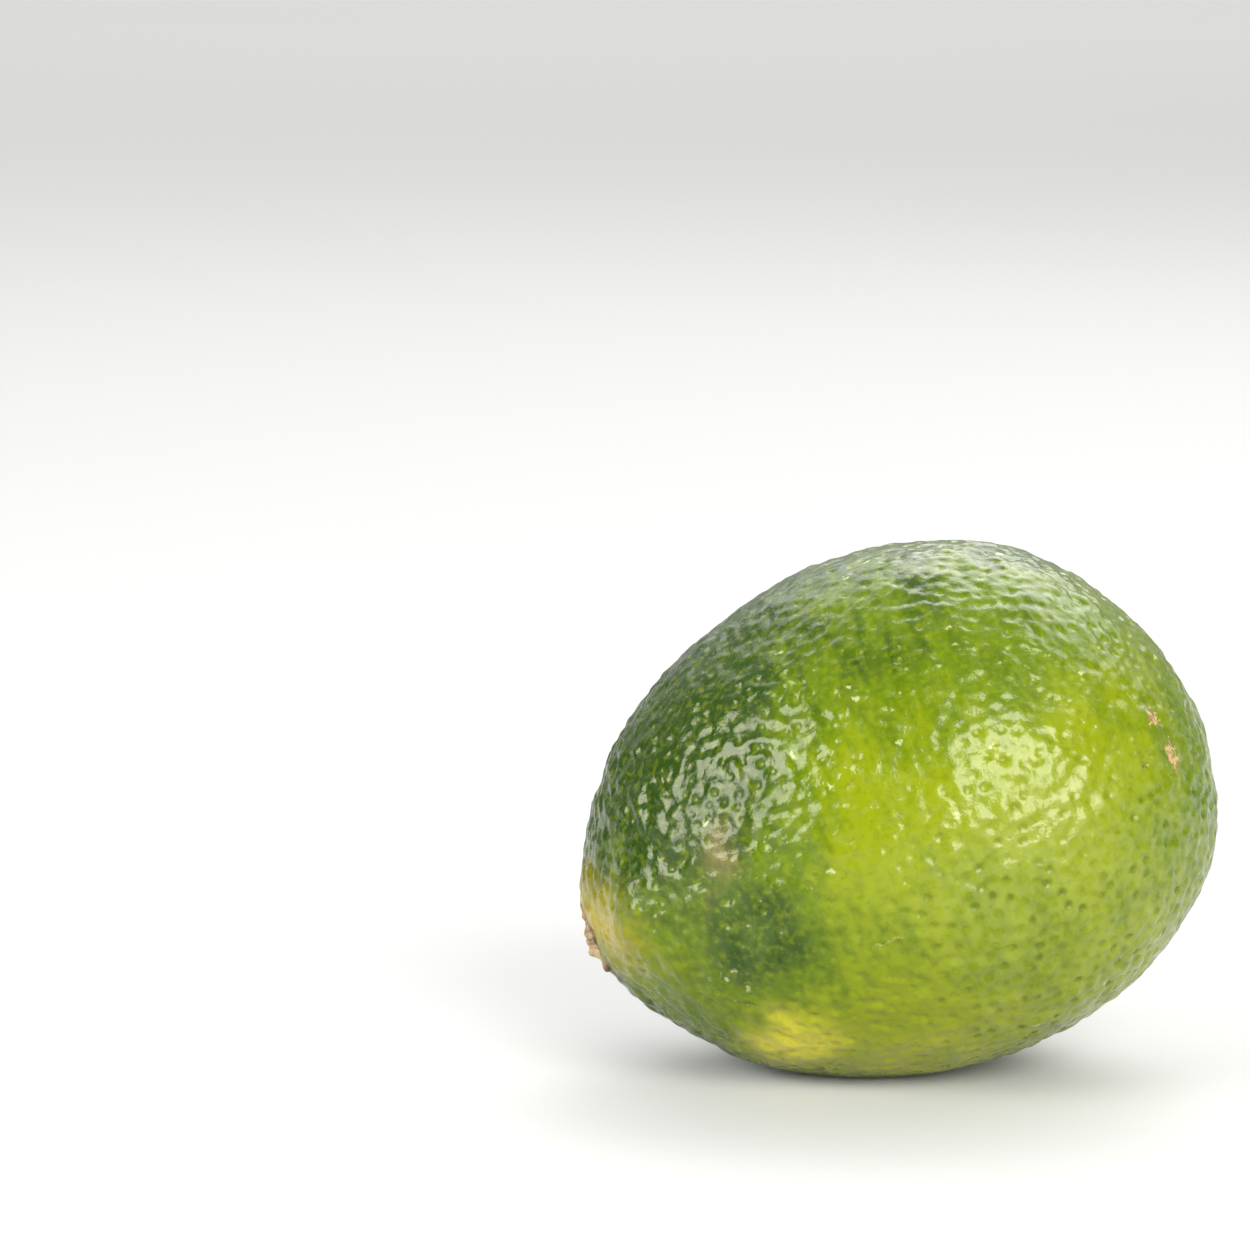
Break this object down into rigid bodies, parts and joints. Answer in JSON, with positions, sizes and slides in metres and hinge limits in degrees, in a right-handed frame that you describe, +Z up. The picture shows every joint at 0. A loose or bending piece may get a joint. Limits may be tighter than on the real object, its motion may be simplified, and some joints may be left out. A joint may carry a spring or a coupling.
{
  "type": "lime",
  "caption": "Whole lime with a slim neck, a low nipple at the blossom end and a dry stem button, leaning back on a small flat spot.",
  "frame": {"origin": "middle of the small flat spot that the lime rests on", "axes": "+Z up; +X level, towards the raised blossom end, with the stem button low at -X; +Y level, across the lime"},
  "size_m": [0.064, 0.0523, 0.0529],
  "materials": {
    "peel": "satin",
    "dry_calyx": "matte"
  },
  "bodies": {
    "root": {"lime_fruit": "peel", "stem_button": "dry_calyx"}
  },
  "joints": []
}
